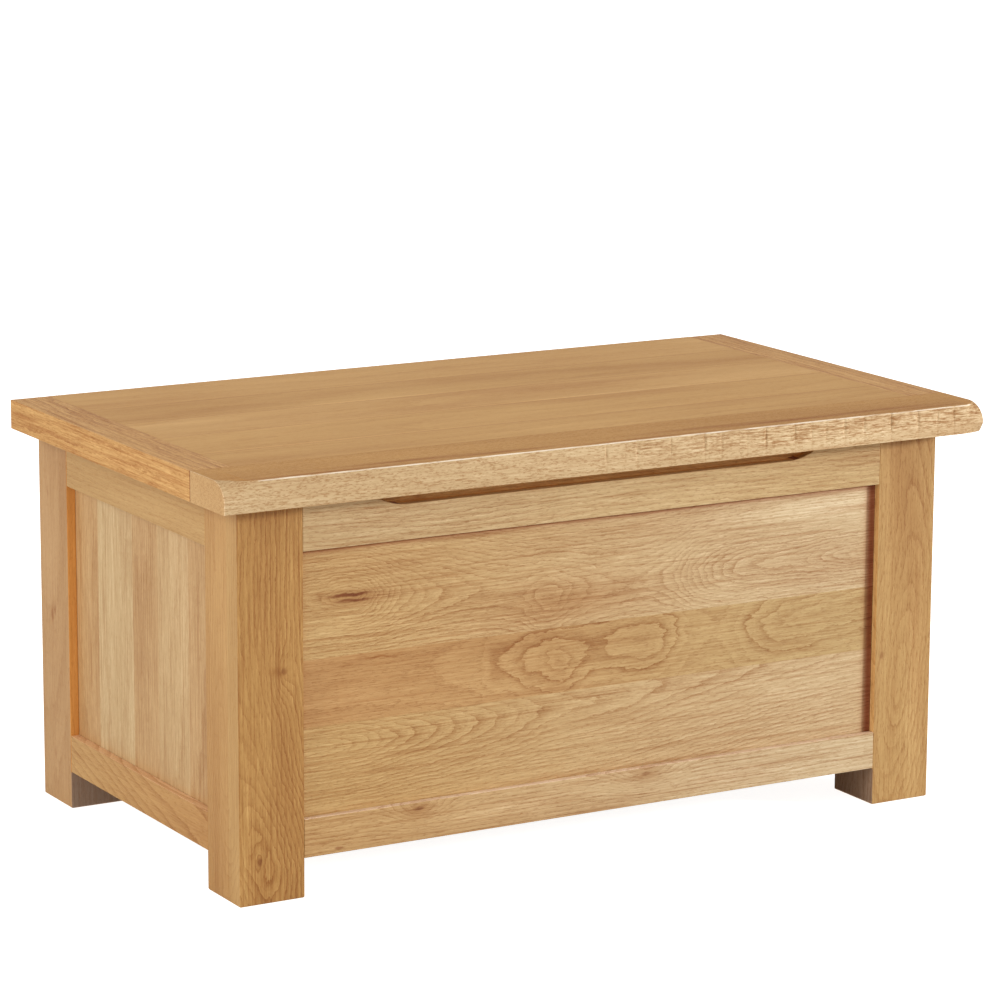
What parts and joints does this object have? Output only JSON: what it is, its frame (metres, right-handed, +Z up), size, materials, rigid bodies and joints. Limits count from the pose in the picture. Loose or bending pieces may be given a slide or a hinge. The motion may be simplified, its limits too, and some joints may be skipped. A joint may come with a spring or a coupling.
{
  "type": "blanket chest",
  "caption": "Low oak chest on square legs with framed panels and a finger scoop, and a hinged lid with cleated ends, a hewn front edge and an inside stay.",
  "frame": {"origin": "on the floor, at the middle of the closed chest's box", "axes": "+X to the right along the chest, +Y to its back, +Z up"},
  "size_m": [0.9, 0.5195, 0.439],
  "materials": {
    "oak_leg": "satin lacquer, straight grain up the leg",
    "oak_rail": "satin lacquer, grain along the rail",
    "oak_panel": "satin lacquer, horizontal crown-cut grain with knots",
    "oak_stave": "satin lacquer, vertical grain, varied staves",
    "oak_lid": "smooth satin lacquer, grain along the lid",
    "oak_cleat": "satin lacquer, grain across the lid",
    "oak_edge": "rough hewn front edge with open pores and saw marks",
    "plywood": "pale, sanded",
    "pine": "planed",
    "brass": "satin, lightly aged",
    "steel": "zinc plated",
    "clear_rubber": "soft clear pad"
  },
  "bodies": {
    "carcass": {"leg_front_left": "oak_leg", "leg_front_right": "oak_leg", "leg_back_left": "oak_leg", "leg_back_right": "oak_leg", "front_top_rail": "oak_rail", "front_bottom_rail": "oak_rail", "back_top_rail": "oak_rail", "back_bottom_rail": "oak_rail", "left_top_rail": "oak_rail", "left_bottom_rail": "oak_rail", "right_top_rail": "oak_rail", "right_bottom_rail": "oak_rail", "front_board_lower": "oak_panel", "front_board_middle": "oak_panel", "front_board_upper": "oak_panel", "back_panel": "oak_panel", "left_stave_1": "oak_stave", "left_stave_2": "oak_stave", "left_stave_3": "oak_stave", "left_stave_4": "oak_stave", "left_stave_5": "oak_stave", "right_stave_1": "oak_stave", "right_stave_2": "oak_stave", "right_stave_3": "oak_stave", "right_stave_4": "oak_stave", "right_stave_5": "oak_stave", "base_panel": "plywood", "batten_front": "pine", "batten_back": "pine", "batten_left": "pine", "batten_right": "pine", "batten_screws": "steel", "lid_buffers": "clear_rubber", "hinge_left_leaf": "brass", "hinge_right_leaf": "brass", "hinge_left_pin": "brass", "hinge_right_pin": "brass", "hinge_screws": "brass", "stay_leg_plate": "brass", "stay_leg_rivet": "brass", "stay_leg_screws": "brass"},
    "lid": {"lid_stave_1": "oak_lid", "lid_stave_2": "oak_lid", "lid_stave_3": "oak_lid", "lid_stave_4": "oak_lid", "lid_stave_5": "oak_lid", "lid_cleat_left": "oak_cleat", "lid_cleat_right": "oak_cleat", "lid_front_strip": "oak_edge", "hinge_left_lid_leaf": "brass", "hinge_right_lid_leaf": "brass", "hinge_lid_screws": "brass", "stay_lid_bracket": "brass", "stay_lid_rivet": "brass", "stay_lid_screws": "brass"},
    "stay_long": {"stay_long_arm": "brass", "stay_elbow_rivet": "brass"},
    "stay_short": {"stay_short_arm": "brass"}
  },
  "joints": [
    {"name": "lid_hinge", "type": "hinge", "parent": "carcass", "child": "lid", "pos_m": [0, 0.25625, 0.4075], "axis": [-1, 0, 0], "range_deg": [0, 95]},
    {"name": "stay_long_pivot", "type": "hinge", "parent": "carcass", "child": "stay_long", "pos_m": [0.34045, 0.21125, 0.3475], "axis": [-1, 0, 0], "range_deg": [0, 95]},
    {"name": "stay_short_pivot", "type": "hinge", "parent": "lid", "child": "stay_short", "pos_m": [0.33755, 0.10625, 0.389], "axis": [-1, 0, 0], "range_deg": [-95, 0]}
  ],
  "couplings": [
    {"joint": "stay_long_pivot", "follows": "lid_hinge", "ratio": 1},
    {"joint": "stay_short_pivot", "follows": "lid_hinge", "ratio": -1}
  ]
}
